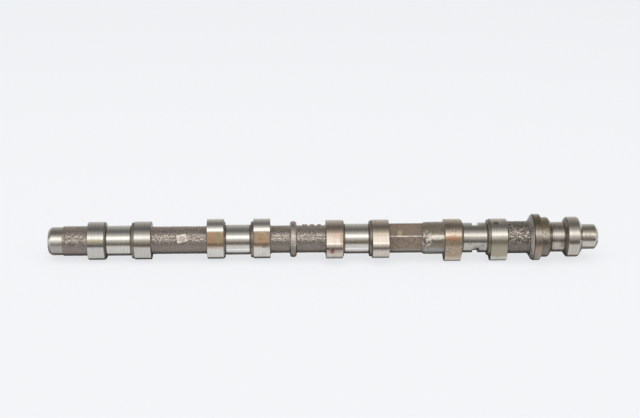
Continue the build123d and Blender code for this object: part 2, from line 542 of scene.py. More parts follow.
# A patch says: station, roll, radius, spread along and across, colour, share, raggedness, softness.
FINISHES: dict[Skin, Union[GroundFinish, CastFinish, FacedFinish]] = {
    Skin.CAST: CastFinish(
        "cast_skin", OXIDE, CAST_GREY, CAST_RUST, rust_share=0.35, roughness=0.25, scale=820.0, depth=1.0,
        distance=0.00036, metallic=0.75, pitting=0.15,
        # Bare high spots kept to the lit band: wear and painted highlight together.
        glints=Patch(-300.0, 65.0, 11.2, (400.0, 4.4), BARE_IRON_AND_SHEEN, 0.65, 0.8, 0.5),
        patches=(
            # Darker along the bars' underside: painted shade.
            Patch(-300.0, 120.0, 11.3, (400.0, 7.5), (0.21, 0.18, 0.16), 0.7, 0.3, 0.5),
            # Lighter patches on the ring's front, where the light falls: painted highlight.
            Patch(-231.2, 62.0, 14.2, (3.0, 7.4), (0.53, 0.48, 0.44), 0.72, 1.8, 0.45),
            Patch(-231.2, 81.0, 14.4, (3.0, 2.6), (0.66, 0.59, 0.55), 0.75, 1.4, 0.45),
        ),
    ),
    Skin.JOURNAL: GroundFinish(
        "ground_journal", (0.705, 0.68, 0.64), (0.4, 0.37, 0.3), film_share=0.3, roughness=0.18,
        patches=(
            # A warm band along all the journals just under the highlight: painted warm reflection.
            Patch(-230.0, 82.0, 12.0, (300.0, 2.3), (0.48, 0.4, 0.3), 0.6, 0.7, 0.5),
            # A thin near-white line across the journals' lower half: painted reflection.
            Patch(-227.3, 111.0, 12.0, (82.0, 0.95), (0.98, 0.955, 0.93), 0.85, 0.5, 0.5),
        ),
    ),
    Skin.TURNED: GroundFinish(
        "turned_end", WARM_STEEL, (0.33, 0.29, 0.22), film_share=0.4, roughness=0.23, line_depth=0.35,
        fineness=4200.0,
        patches=(
            # Lighter on the stub's lit band: painted highlight.
            Patch(-421.0, 68.0, 11.2, (9.0, 3.4), (0.76, 0.73, 0.68), 0.8, 0.3, 0.45),
            # Darker below the stub's highlight: painted shade.
            Patch(-421.0, 104.0, 11.2, (9.0, 4.6), (0.36, 0.34, 0.325), 0.75, 0.3, 0.45),
        ),
    ),
    Skin.SIDE: FacedFinish("side_face", (0.3, 0.265, 0.23), (0.1, 0.08, 0.06), roughness=0.4),
    Skin.LOBES_TAIL: GroundFinish(
        "lobe_silver", (0.62, 0.595, 0.555), (0.42, 0.37, 0.27), film_share=0.4, roughness=0.2,
        patches=(
            # Warm bands along these lobes just under the highlight: painted warm reflection.
            Patch(-387.5, 73.0, 15.1, (14.0, 1.9), (0.5, 0.42, 0.22), 0.55, 0.4, 0.5),
            Patch(-350.7, 80.0, 15.1, (14.0, 2.6), (0.36, 0.27, 0.15), 0.5, 0.4, 0.5),
        ),
    ),
    Skin.LOBES_TAN: GroundFinish(
        "lobe_tan", (0.76, 0.725, 0.675), (0.44, 0.36, 0.27), film_share=0.35, roughness=0.2,
        patches=(
            Patch(-294.5, 74.6, 15.15, (16.0, 9.0), (0.62, 0.4, 0.26), 0.95, 0.3, 0.2, True),
            # A warm band along the lobe just under the highlight: painted warm reflection.
            Patch(-294.5, 80.0, 15.1, (16.0, 4.2), (0.5, 0.32, 0.2), 0.75, 0.6, 0.45),
            Patch(-290.5, 74.6, 15.15, (1.9, 12.0), (0.44, 0.4, 0.26), 0.85, 0.4, 0.3, True),
            Patch(-256.2, 74.6, 15.15, (16.0, 9.0), (0.46, 0.34, 0.25), 0.9, 0.5, 0.25, True),
            Patch(-256.4, 74.6, 15.15, (5.5, 8.0), (0.7, 0.5, 0.34), 0.95, 0.5, 0.25, True),
            # A warm band along the lobe just under the highlight: painted warm reflection.
            Patch(-256.2, 80.0, 15.1, (16.0, 3.6), (0.54, 0.37, 0.24), 0.7, 0.7, 0.45),
            Patch(-254.0, 90.0, 15.2, (2.4, 1.5), (0.22, 0.16, 0.1), 0.55, 1.2, 0.5),
        ),
        grit=(
            Patch(-257.0, 62.0, 15.2, (4.0, 3.0), (0.24, 0.15, 0.1), 0.6, 2.2, 0.4),
        ),
    ),
    Skin.LOBES_CREAM: GroundFinish(
        "lobe_cream", (0.7, 0.62, 0.545), (0.5, 0.38, 0.3), film_share=0.35, roughness=0.19,
        patches=(
            # Dark band along the undersides of lobes five and six: painted shade.
            Patch(-180.1, 131.5, 17.7, (80.0, 3.7), (0.17, 0.175, 0.165), 0.9, 0.25, 0.3),
            Patch(-198.5, 101.0, 18.4, (9.0, 1.9), (0.38, 0.29, 0.26), 0.65, 0.6, 0.5),
            Patch(-161.7, 99.5, 18.3, (9.0, 1.2), (0.42, 0.35, 0.31), 0.5, 0.6, 0.5),
            Patch(-200.4, 101.5, 18.4, (1.5, 2.2), (0.24, 0.05, 0.06), 0.8, 1.0, 0.5),
            Patch(-198.5, 46.0, 15.2, (14.0, 4.6), (0.36, 0.27, 0.19), 0.5, 0.6, 0.5),
            Patch(-161.7, 46.0, 15.2, (14.0, 4.6), (0.38, 0.3, 0.21), 0.5, 0.6, 0.5),
            Patch(-193.0, 72.0, 15.2, (1.6, 5.0), (0.34, 0.27, 0.17), 0.55, 0.6, 0.4),
        ),
        grit=(
            Patch(-197.5, 58.0, 15.2, (5.0, 5.0), (0.48, 0.26, 0.2), 0.5, 2.0, 0.4),
        ),
    ),
    Skin.LOBE_ORANGE: GroundFinish(
        "lobe_orange", (0.64, 0.55, 0.46), (0.28, 0.21, 0.14), film_share=0.55, roughness=0.22,
        patches=(
            Patch(-105.0, 77.5, 15.1, (7.5, 3.3), (0.52, 0.265, 0.15), 0.9, 0.7, 0.45),
            Patch(-98.6, 76.0, 15.1, (2.2, 2.6), (0.38, 0.32, 0.17), 0.6, 0.5, 0.5),
            # A warm band along the lobe just under the highlight: painted warm reflection.
            Patch(-104.0, 88.0, 15.1, (16.0, 3.4), (0.38, 0.26, 0.18), 0.7, 0.6, 0.5),
            Patch(-104.0, 107.5, 15.6, (16.0, 7.2), (0.31, 0.235, 0.165), 0.93, 0.5, 0.25),
        ),
        grit=(
            Patch(-104.0, 106.0, 15.6, (16.0, 6.8), (0.66, 0.55, 0.44), 0.75, 0.8, 0.3),
            Patch(-104.0, 40.0, 15.2, (8.0, 6.0), (0.22, 0.17, 0.13), 0.5, 1.5, 0.5),
        ),
    ),
    Skin.LOBE_KHAKI: GroundFinish(
        "lobe_khaki", (0.64, 0.6, 0.55), (0.32, 0.28, 0.19), film_share=0.45, roughness=0.21,
        patches=(
            # A warm band along the lobe just under the highlight: painted warm reflection.
            Patch(-67.2, 88.0, 15.1, (16.0, 3.4), (0.42, 0.36, 0.27), 0.7, 0.5, 0.5),
            Patch(-67.2, 107.5, 15.6, (16.0, 7.2), (0.37, 0.335, 0.25), 0.93, 0.3, 0.2),
            Patch(-69.5, 20.0, 15.2, (2.2, 2.0), (0.12, 0.09, 0.07), 0.7, 1.1, 0.4),
        ),
    ),
    Skin.HEXAGON: CastFinish(
        "hexagon_skin", (0.145, 0.11, 0.083), (0.245, 0.19, 0.147), (0.21, 0.15, 0.105), rust_share=0.45,
        roughness=0.4, scale=1050.0, depth=0.7, distance=0.00018, metallic=0.25, pitting=0.4,
        glints=Patch(-141.5, 86.0, 11.4, (13.0, 6.5), (0.37, 0.29, 0.215), 0.4, 2.2, 0.4),
        patches=(
            Patch(-146.5, 48.0, 11.6, (1.6, 2.4), (0.42, 0.36, 0.16), 0.6, 1.6, 0.6),
            # Bright line along the hexagon's front corner: painted highlight.
            Patch(-141.9, 63.0, 12.5, (15.0, 0.5), (0.8, 0.72, 0.64), 0.9, 2.4, 0.4),
            # Grey band along the lower corner: painted reflection of the floor.
            Patch(-141.9, 123.0, 12.3, (15.5, 2.2), (0.235, 0.23, 0.225), 0.85, 0.7, 0.45),
        ),
    ),
    Skin.FLANGE: CastFinish(
        "flange_skin", (0.26, 0.235, 0.215), (0.52, 0.485, 0.45), (0.34, 0.3, 0.25), rust_share=0.35,
        roughness=0.26, scale=760.0, depth=0.9, distance=0.0004, metallic=0.65,
        patches=(
            # Darker on the top of the flange's back: painted shade.
            Patch(-41.5, 14.0, 16.5, (9.0, 11.0), (0.165, 0.15, 0.145), 0.85, 0.8, 0.4),
            # Lighter speckled patch low on the flange's back: painted light.
            Patch(-41.5, 86.0, 15.5, (5.0, 7.5), (0.66, 0.61, 0.57), 0.7, 3.5, 0.35),
        ),
    ),
    Skin.BORE: FacedFinish("bored_metal", (0.28, 0.26, 0.24), (0.05, 0.04, 0.03), roughness=0.35),
    Skin.JOURNAL_OILED: GroundFinish(
        "ground_journal_oiled", (0.58, 0.555, 0.505), (0.33, 0.31, 0.23), film_share=0.45, roughness=0.21,
        patches=(
            # Dark patch at the lower groove: painted shade.
            Patch(-85.6, 130.0, 11.0, (4.0, 4.5), (0.15, 0.15, 0.12), 0.75, 0.9, 0.5),
            # Near-black spot at the oil hole's mouth: painted shade.
            Patch(-84.4, 119.0, 10.4, (1.5, 1.5), (0.02, 0.018, 0.015), 0.9, 0.3, 0.3),
        ),
        grit=(
            Patch(-79.5, 106.0, 12.0, (4.4, 3.4), (0.1, 0.09, 0.075), 0.85, 1.2, 0.4),
        ),
    ),
    Skin.JOURNAL_FRONT: GroundFinish(
        "ground_journal_front", (0.54, 0.5, 0.45), (0.3, 0.27, 0.19), film_share=0.55, roughness=0.24,
        patches=(
            Patch(-15.2, 96.0, 12.0, (2.8, 4.0), (0.22, 0.17, 0.13), 0.7, 2.2, 0.5),
        ),
    ),
    Skin.PAD: CastFinish(
        "pad_skin", (0.4, 0.355, 0.32), (0.66, 0.6, 0.55), (0.4, 0.33, 0.27), rust_share=0.2, roughness=0.3,
        scale=800.0, depth=0.5, distance=0.0002, metallic=0.75, pitting=0.3,
        patches=(
            Patch(-319.3, 66.0, 11.8, (2.9, 2.3), (0.33, 0.28, 0.245), 0.75, 0.9, 0.3),
        ),
    ),
    Skin.COLLAR: CastFinish(
        "collar_skin", (0.155, 0.127, 0.1), (0.265, 0.222, 0.18), (0.2, 0.16, 0.115), rust_share=0.4,
        roughness=0.3, scale=620.0, depth=0.8, distance=0.0003, metallic=0.55, pitting=0.4,
        # Bare high spots on the lit band: wear and painted highlight together.
        glints=Patch(-125.2, 71.0, 12.8, (4.2, 6.4), (0.8, 0.75, 0.7), 0.9, 1.2, 0.4),
        patches=(
            Patch(-124.0, 36.0, 12.8, (9.0, 6.0), (0.17, 0.155, 0.11), 0.6, 0.8, 0.5),
            # Light band along the collar: painted highlight.
            Patch(-116.5, 67.0, 12.8, (7.5, 1.9), (0.78, 0.72, 0.64), 0.8, 0.7, 0.45),
            # Grey band along the collar's underside: painted reflection of the floor.
            Patch(-119.5, 123.0, 12.8, (12.0, 3.8), (0.33, 0.325, 0.32), 0.7, 0.5, 0.4),
        ),
    ),
    Skin.NOSE: GroundFinish(
        "nose_turned", (0.66, 0.62, 0.56), (0.34, 0.31, 0.235), film_share=0.5, roughness=0.24,
        line_depth=0.35, fineness=4200.0,
        patches=(
            Patch(4.6, 76.0, 10.0, (4.6, 2.4), (0.16, 0.13, 0.1), 0.5, 3.2, 0.5),
            Patch(5.5, 36.0, 10.0, (8.0, 3.2), (0.4, 0.365, 0.28), 0.6, 0.8, 0.5),
        ),
    ),
    # Run-outs and the flange's groove, darkened: painted shade.
    Skin.GROOVE: FacedFinish("painted_shade_groove", (0.24, 0.2, 0.165), (0.12, 0.095, 0.075), roughness=0.42),
    Skin.DRIVE_BAR: CastFinish(
        "drive_bar_skin", (0.125, 0.105, 0.092), (0.25, 0.213, 0.188), (0.17, 0.135, 0.105),
        rust_share=0.35, roughness=0.25, scale=660.0, depth=1.0, distance=0.00045, metallic=0.8,
        pitting=0.2,
        # Bare high spots kept to the lit band: wear and painted highlight together.
        glints=Patch(-52.0, 60.0, 12.9, (14.0, 7.6), BARE_IRON_AND_SHEEN, 0.62, 1.6, 0.45),
        patches=(
            # Darker along the bar's underside: painted shade.
            Patch(-52.0, 122.0, 12.9, (40.0, 7.5), (0.17, 0.15, 0.138), 0.6, 0.3, 0.5),
        ),
    ),
    Skin.RIM: GroundFinish(
        "flange_rim", (0.41, 0.372, 0.332), (0.205, 0.17, 0.12), film_share=0.6, roughness=0.26,
        line_depth=0.4, fineness=3600.0,
        patches=(
            Patch(-36.7, 30.0, 18.5, (8.0, 8.0), (0.23, 0.19, 0.12), 0.8, 1.4, 0.4),
            Patch(-36.7, 98.0, 18.5, (8.0, 7.0), (0.36, 0.25, 0.19), 0.65, 1.2, 0.5),
        ),
    ),
    Skin.BOSS: GroundFinish(
        "boss_turned", (0.44, 0.39, 0.33), (0.2, 0.165, 0.11), film_share=0.65, roughness=0.27,
        line_depth=0.4, fineness=3600.0,
        patches=(
            Patch(-30.0, 36.0, 16.0, (8.0, 9.0), (0.37, 0.315, 0.225), 0.85, 1.8, 0.4),
            Patch(-29.0, 76.0, 16.0, (4.0, 6.0), (0.74, 0.68, 0.6), 0.7, 5.0, 0.35),
            # Bright spot where the highlight runs on: painted highlight.
            Patch(-25.2, 67.0, 13.4, (1.7, 2.4), (0.88, 0.83, 0.77), 0.85, 0.6, 0.4),
            Patch(-30.0, 106.0, 16.0, (9.0, 9.0), (0.16, 0.14, 0.11), 0.93, 1.2, 0.4),
        ),
        grit=(
            Patch(-28.6, 70.0, 15.6, (4.4, 9.0), (0.15, 0.115, 0.085), 0.7, 1.4, 0.4),
            Patch(-30.5, 34.0, 16.0, (4.0, 8.0), (0.14, 0.11, 0.08), 0.6, 1.4, 0.4),
            Patch(-29.0, 112.0, 15.6, (4.0, 6.0), (0.44, 0.4, 0.35), 0.6, 1.4, 0.4),
        ),
    ),
}


# ---------------------------------------------------------------- the shaft's own sizes


@dataclass(frozen=True)
class Corner:
    """One corner of the half outline: its place, and how far it is rounded."""

    x: float
    r: float
    round: float = 0.0


@dataclass(frozen=True)
class Zone:
    """A stretch of the shaft with one finish, how close together its rings lie and how rough it is."""

    start: float
    end: float
    skin: Skin
    pitch: float
    relief: float


@dataclass(frozen=True)
class ShaftSizes:
    """Stations along the axis and radii that the other classes share."""

    cylinders: tuple[float, ...] = (-369.1, -274.6, -180.1, -85.6)
    half_spacing: float = 18.4
    half_lobe: float = 6.7
    nose_rolls: tuple[float, ...] = (-115.0, 20.0, 110.0, 155.0)
    journal: float = 12.0
    shoulder: float = 14.4
    shoulder_widths: tuple[float, float] = (0.9, 2.2)
    tail_end: float = -426.0
    tail_bar: tuple[float, float] = (-414.2, 11.8)
    middle_bar: float = 10.95
    drive_bar: float = 12.9
    ring: tuple[float, float, float] = (-233.8, -228.6, 14.4)
    hexagon: tuple[float, float] = (-155.0, -128.8)
    collar: float = 12.85
    flange: tuple[float, float, float] = (-43.1, -39.9, -33.5)
    flange_radius: float = 18.6
    thrust_back: float = -14.0
    nose_end: float = 13.2
    parting: float = 60.5

    @property
    def lobes(self) -> tuple[float, ...]:
        """Centres of the eight lobes, from the tail."""
        return tuple(centre + side * self.half_spacing for centre in self.cylinders for side in (-1, 1))

    def lobe_side(self, number: int, side: int) -> float:
        """Station of one lobe's side face: side is -1 towards the tail and 1 towards the drive end."""
        return self.lobes[number] + side * self.half_lobe


# ---------------------------------------------------------------- mesh helpers


def mesh_parts(geometry: Iterable[object], kind: type) -> list:
    """Pick one kind of element from what an operator gives back."""
    return [part for part in geometry if isinstance(part, kind)]


def edges_along(mesh: Mesh, least: float) -> list[bmesh.types.BMEdge]:
    """Give the edges that reach further than a length along the shaft."""
    return [edge for edge in mesh.edges if abs(edge.verts[0].co.x - edge.verts[1].co.x) > least]


def turn(mesh: Mesh, matrix: Matrix) -> None:
    """Turn a whole mesh about the origin."""
    bmesh.ops.rotate(mesh, verts=mesh.verts[:], cent=(0, 0, 0), matrix=matrix)


def move(mesh: Mesh, x: float, z: float = 0.0) -> None:
    """Move a whole mesh along the shaft and outwards."""
    bmesh.ops.translate(mesh, vec=(x, 0.0, z), verts=mesh.verts[:])


def round_edges(
    mesh: Mesh, edges: list[bmesh.types.BMEdge], offset: float, segments: int, clamp: bool = False
) -> None:
    """Round edges.

    Args:
        mesh: The mesh.
        edges: The edges.
        offset: How far the rounding reaches.
        segments: How many steps it has.
        clamp: Whether roundings that meet are kept from crossing.
    """
    bmesh.ops.bevel(
        mesh,
        geom=edges,
        offset=offset,
        segments=segments,
        profile=0.5,
        affect="EDGES",
        clamp_overlap=clamp,
        material=-1,
    )


def draw_out(mesh: Mesh, length: float) -> None:
    """Draw a flat shape out along the shaft into a solid."""
    made = bmesh.ops.extrude_face_region(mesh, geom=mesh.faces[:])["geom"]
    bmesh.ops.translate(mesh, vec=(length, 0.0, 0.0), verts=mesh_parts(made, bmesh.types.BMVert))


def paint(faces: Iterable[bmesh.types.BMFace], skin: Skin) -> None:
    """Give faces their finish and smooth shading.

    Args:
        faces: The faces.
        skin: Their finish.
    """
    for face in faces:
        face.material_index = skin.value
        face.smooth = True


def crease(mesh: Mesh, limit: float = 38.0) -> None:
    """Keep as sharp the edges that turn by more than a limit in degrees.

    Args:
        mesh: The mesh.
        limit: The largest turn that stays smooth.
    """
    least = math.radians(limit)
    for edge in mesh.edges:
        if edge.is_manifold:
            edge.smooth = edge.calc_face_angle(0.0) < least


def shake(place: Vector, size: float, seed: float) -> float:
    """Give a smooth bump height for a place, from about -1 to 1, with bumps of one size in mm."""
    return noise.fractal(place / size + Vector((seed, seed * 0.7, -seed)), 1.0, 2.0, 3)


def settle(mesh: Mesh, name: str) -> bpy.types.Mesh:
    """Turn a finished mesh into mesh data, and free it.

    Args:
        mesh: The mesh.
        name: The data's name.

    Returns:
        The mesh data.
    """
    data = bpy.data.meshes.new(name)
    mesh.to_mesh(data)
    mesh.free()
    return data


def show(name: str, data: bpy.types.ID) -> bpy.types.Object:
    """Put data into the scene as an object.

    Args:
        name: The object's name.
        data: What it is made of.

    Returns:
        The object.
    """
    made = bpy.data.objects.new(name, data)
    bpy.context.scene.collection.objects.link(made)
    return made


def add_to(whole: Mesh, part: Mesh) -> None:
    """Put one finished shell into the whole casting.

    Args:
        whole: The casting.
        part: The shell.
    """
    shell = settle(part, "shell")
    whole.from_mesh(shell)
    bpy.data.meshes.remove(shell)


def close_shell(whole: Mesh, mesh: Mesh, skin: Skin, limit: float = 38.0) -> None:
    """Dress one closed shell and put it into the whole casting.

    Args:
        whole: The casting.
        mesh: The shell.
        skin: Its finish.
        limit: Edges that turn by more degrees stay sharp.
    """
    bmesh.ops.recalc_face_normals(mesh, faces=mesh.faces[:])
    paint(mesh.faces, skin)
    crease(mesh, limit)
    add_to(whole, mesh)


# ---------------------------------------------------------------- the turned and cast body


@dataclass
class ShaftBody:
    """Everything round: the ends, bars, shoulders, journals, ring, collar and flange, as one skin."""

    sizes: ShaftSizes = ShaftSizes()
    steps: int = 144
    first_roll: float = 4.0
    bar_root: float = 1.7
    wall_gap: float = 0.02
    wall_rise: float = 2.4
    wall_top: float = 14.6
    lap: float = 2.0
    relief_width: float = 0.8
    relief_depth: float = 0.25
    groove_half: float = 2.5
    groove_floor: float = 10.1
    groove_arcs: tuple[tuple[float, float], ...] = ((-61.0, 19.0), (119.0, 199.0))
    rim_groove: tuple[float, float] = (0.7, 17.6)
    boss: tuple[float, float] = (-27.2, 16.0)
    thrust: tuple[float, float] = (-11.8, 16.1)
    nose: float = 10.0
    centre_radii: tuple[float, float] = (1.575, 3.35)
    centre_stations: tuple[float, float] = (-420.0, -422.93)
    thread_root: float = 5.0
    thread_core: float = 4.25
    plain_pitch: float = 4.0
    cast_pitch: float = 0.8

    def outline(self) -> list[Corner]:
        """Give the half outline, from the bottom of the tail's centre hole to that of the nose's.

        Returns:
            The corners, in order.
        """
        sizes = self.sizes
        before = (sizes.tail_bar[1], sizes.middle_bar, sizes.middle_bar, sizes.collar)
        after = (sizes.middle_bar, sizes.middle_bar, None, sizes.drive_bar)
        corners = self._tail()
        for number, centre in enumerate(sizes.cylinders):
            corners += self._root(sizes.lobe_side(2 * number, -1), before[number], 1)
            corners += self._journal(centre)
            if after[number] is None:
                corners += self._under_hexagon()
                continue
            corners += self._root(sizes.lobe_side(2 * number + 1, 1), after[number], -1)
            if number == 1:
                corners += self._ring()
        return corners + self._drive_end()

    def _tail(self) -> list[Corner]:
        """Centre hole, chamfered stub and the step up to the tail's bar.

        Returns:
            Their corners.
        """
        small, wide = self.centre_radii
        deep, cone = self.centre_stations
        end, stub = self.sizes.tail_end, 11.2
        bar_start, bar = self.sizes.tail_bar
        return [
            Corner(deep, 0.0),
            Corner(deep, small),
            Corner(cone, small),
            Corner(end, wide),
            Corner(end, 7.8, 0.5),
            Corner(end + 0.7, 9.6, 0.6),
            Corner(end + 2.8, stub, 0.9),
            Corner(bar_start - 0.5, stub),
            Corner(bar_start, stub - 0.15, 0.1),
            Corner(bar_start + 0.1, bar, 0.45),
        ]

    def _root(self, side: float, bar: float, way: int) -> list[Corner]:
        """Root of a bar against a lobe's side, and the wall hidden inside the lobe.

        Args:
            side: The station of the lobe's side.
            bar: The bar's radius.
            way: 1 where the outline goes into the lobe, and -1 where it comes out.

        Returns:
            The two corners, in the outline's order.
        """
        wall = side + way * self.wall_gap
        hidden = min(bar + self.wall_rise, self.wall_top)
        return [Corner(wall, bar, self.bar_root), Corner(wall, hidden)][::way]

    def _journal(self, centre: float) -> list[Corner]:
        """A journal with its shoulders and the wheel's run-out beside each.

        Args:
            centre: The station of its middle.

        Returns:
            Their corners.
        """
        sizes = self.sizes
        face = sizes.half_spacing - sizes.half_lobe
        foot = centre - face + sizes.shoulder_widths[0]
        head = centre + face - sizes.shoulder_widths[1]
        floor, slant = sizes.journal - self.relief_depth, 0.15
        groove = (-self.groove_half, self.groove_half) if centre == sizes.cylinders[-1] else ()
        return [
            Corner(centre - face - self.lap, sizes.shoulder),
            Corner(foot, sizes.shoulder, 0.55),
            Corner(foot, floor, 0.3),
            Corner(foot + self.relief_width, floor),
            Corner(foot + self.relief_width + slant, sizes.journal),
            *(Corner(centre + side, sizes.journal) for side in groove),
            Corner(head - self.relief_width - slant, sizes.journal),
            Corner(head - self.relief_width, floor),
            Corner(head, floor, 0.3),
            Corner(head, sizes.shoulder, 0.75),
            Corner(centre + face + self.lap, sizes.shoulder),
        ]

    def _ring(self) -> list[Corner]:
        """The cast ring with its round crest.

        Returns:
            Its corners.
        """
        start, end, radius = self.sizes.ring
        bar, root, crest = self.sizes.middle_bar, 1.1, 1.9
        places = ((start, bar, root), (start, radius, crest), (end, radius, crest), (end, bar, root))
        return [Corner(*place) for place in places]

    def _under_hexagon(self) -> list[Corner]:
        """The core inside the hexagon, and the cast collar after it.

        Returns:
            Their corners.
        """
        start, end = self.sizes.hexagon
        core, inside = 10.4, 0.4
        return [
            Corner(start - 1.0, core),
            Corner(end - inside, core),
            Corner(end - inside, 11.3, 0.4),
            Corner(end + 1.0, 12.2, 0.8),
            Corner(end + 2.6, self.sizes.collar, 1.0),
        ]

    def _drive_end(self) -> list[Corner]:
        """Flange, boss, front journal, thrust collar, nose and its tapped hole.

        Returns:
            Their corners.
        """
        sizes = self.sizes
        back, rim, step = sizes.flange
        groove, groove_floor = self.rim_groove
        rim_radius = sizes.flange_radius - 0.02
        boss, boss_radius = self.boss
        journal, neck = sizes.journal, sizes.journal - self.relief_depth
        thrust, thrust_radius = self.thrust
        end = sizes.nose_end
        return [
            Corner(back, sizes.drive_bar, 1.2),
            Corner(rim - 0.1, 18.2, 0.5),
            Corner(rim, groove_floor),
            Corner(rim + groove, groove_floor),
            Corner(rim + groove, rim_radius, 0.25),
            Corner(step - 0.1, rim_radius, 0.75),
            Corner(step, boss_radius, 0.5),
            Corner(boss, boss_radius, 1.0),
            Corner(boss + 2.3, 12.7, 0.4),
            Corner(boss + 3.0, neck, 0.2),
            Corner(boss + 3.8, neck),
            Corner(boss + 3.95, journal),
            Corner(sizes.thrust_back - 0.95, journal),
            Corner(sizes.thrust_back - 0.8, neck),
            Corner(sizes.thrust_back, neck, 0.2),
            Corner(sizes.thrust_back, 13.1, 0.3),
            Corner(thrust, thrust_radius, 0.8),
            Corner(-3.0, thrust_radius, 0.9),
            Corner(0.0, 11.5, 0.5),
            Corner(0.0, self.nose, 0.4),
            Corner(end - 2.4, self.nose, 0.7),
            Corner(end, 7.0, 0.4),
            Corner(end, 5.5),
            Corner(end - 0.87, self.thread_root),
            Corner(-12.6, self.thread_root),
            Corner(-12.8, self.thread_core),
            Corner(-14.8, self.thread_core),
            Corner(-16.4, 0.0),
        ]

    def zones(self) -> list[Zone]:
        """Give the finish of each stretch, from the tail: its end, skin, pitch of rings and relief.

        Returns:
            The stretches, in order.
        """
        sizes, side = self.sizes, self.sizes.lobe_side
        back, rim, step = sizes.flange
        plain, cast = (self.plain_pitch, 0.0), self.cast_pitch
        stretches = (
            (sizes.tail_bar[0] + 0.05, Skin.TURNED, *plain),
            (side(0, -1), Skin.CAST, cast, 0.11),
            (side(1, 1), Skin.JOURNAL, *plain),
            (side(2, -1), Skin.CAST, cast, 0.10),
            (side(3, 1), Skin.JOURNAL, *plain),
            (side(4, -1), Skin.CAST, cast, 0.10),
            (side(5, 1), Skin.JOURNAL, *plain),
            (sizes.hexagon[1] - 0.5, Skin.HEXAGON, *plain),
            (side(6, -1), Skin.COLLAR, cast, 0.12),
            (side(7, 1), Skin.JOURNAL_OILED, *plain),
            (back + 1.0, Skin.DRIVE_BAR, cast, 0.13),
            (rim - 0.1, Skin.FLANGE, cast, 0.08),
            (step + 0.02, Skin.RIM, 2.0, 0.0),
            (-24.5, Skin.BOSS, 1.5, 0.02),
            (sizes.thrust_back, Skin.JOURNAL_FRONT, *plain),
            (0.05, Skin.TURNED, *plain),
            (sizes.nose_end + 0.8, Skin.NOSE, *plain),
        )
        starts = (sizes.tail_end - 1.0, *(stretch[0] for stretch in stretches))
        return [Zone(start, *stretch) for start, stretch in zip(starts, stretches)]

    def build(self) -> Mesh:
        """Turn the outline into the closed skin, roughen the cast stretches and cut the oil grooves.

        Returns:
            The skin in millimetres, with its finishes on it.
        """
        mesh = bmesh.new()
        corners = self.outline()
        points = [mesh.verts.new((corner.x, 0.0, corner.r)) for corner in corners]
        for first, second in zip(points, points[1:]):
            mesh.edges.new((first, second))
        for point, corner in zip(points, corners):
            if corner.round:
                self._round(mesh, point, corner.round)
        self._divide(mesh)
        turn(mesh, roll_matrix(self.first_roll))
        bmesh.ops.spin(
            mesh,
            geom=mesh.verts[:] + mesh.edges[:],
            cent=(0, 0, 0),
            axis=(1, 0, 0),
            dvec=(0, 0, 0),
            angle=math.tau,
            steps=self.steps,
            use_merge=True,
            use_duplicate=False,
        )
        bmesh.ops.remove_doubles(mesh, verts=mesh.verts[:], dist=0.002)
        bmesh.ops.recalc_face_normals(mesh, faces=mesh.faces[:])
        self._paint(mesh)
        self._groove(mesh)
        self._roughen(mesh)
        crease(mesh)
        return mesh

    def _round(self, mesh: Mesh, point: bmesh.types.BMVert, radius: float) -> None:
        """Round one corner of the outline.

        Args:
            mesh: The outline.
            point: The corner.
            radius: How far it is rounded.
        """
        bmesh.ops.bevel(
            mesh,
            geom=[point],
            offset=radius,
            offset_type="OFFSET",
            segments=5 if radius > 0.6 else 3,
            profile=0.5,
            affect="VERTICES",
            clamp_overlap=True,
            material=-1,
        )

    def _zone_at(self, zones: list[Zone], x: float) -> Optional[Zone]:
        """Give the stretch that a station lies in."""
        return next((zone for zone in zones if zone.start <= x < zone.end), None)

    def _divide(self, mesh: Mesh) -> None:
        """Divide the outline's long edges where the skin needs rings.

        Args:
            mesh: The outline.
        """
        zones, hidden = self.zones(), 9.0
        for edge in mesh.edges[:]:
            middle = (edge.verts[0].co + edge.verts[1].co) / 2
            cuts = int(edge.calc_length() / self._zone_at(zones, middle.x).pitch)
            if cuts and middle.z > hidden:
                bmesh.ops.subdivide_edges(mesh, edges=[edge], cuts=cuts)

    def _paint(self, mesh: Mesh) -> None:
        """Give each face the finish of its stretch, or that of a bore, a groove or a side face.

        Args:
            mesh: The skin.
        """
        zones = self.zones()
        for face in mesh.faces:
            middle = face.calc_center_median()
            skin = self._zone_at(zones, middle.x).skin
            if self._in_bore(middle.x, off_axis(middle)):
                skin = Skin.BORE
            # Grooves get a dark finish: painted shade.
            elif self._in_groove(middle.x, off_axis(middle)):
                skin = Skin.GROOVE
            elif self._is_side(face, middle, skin):
                skin = Skin.SIDE
            paint([face], skin)

    def _in_bore(self, x: float, away: float) -> bool:
        """Tell whether a place lies in the nose's tapped hole or in the tail's centre hole.

        Args:
            x: Its station.
            away: Its distance from the axis.

        Returns:
            True in a hole.
        """
        widest, nose_hole, tail_hole = 5.6, -17.0, -419.0
        return away < widest and (x > nose_hole or x < tail_hole)

    def _in_groove(self, x: float, away: float) -> bool:
        """Tell whether a place lies in a wheel's run-out or in the flange's groove, which is painted dark as
        shade.

        Args:
            x: Its station.
            away: Its distance from the axis.

        Returns:
            True in a groove.
        """
        sizes, hair = self.sizes, 0.02
        rim, back = sizes.flange[1], sizes.thrust_back
        by_rim = rim + hair < x < rim + self.rim_groove[0] + hair and away < sizes.flange_radius - 0.15
        face = sizes.half_spacing - sizes.half_lobe
        near = any(abs(x - centre) < face for centre in sizes.cylinders) or back - 1.0 < x < back + 0.1
        return by_rim or (near and sizes.journal - 0.6 < away < sizes.journal - 0.12)

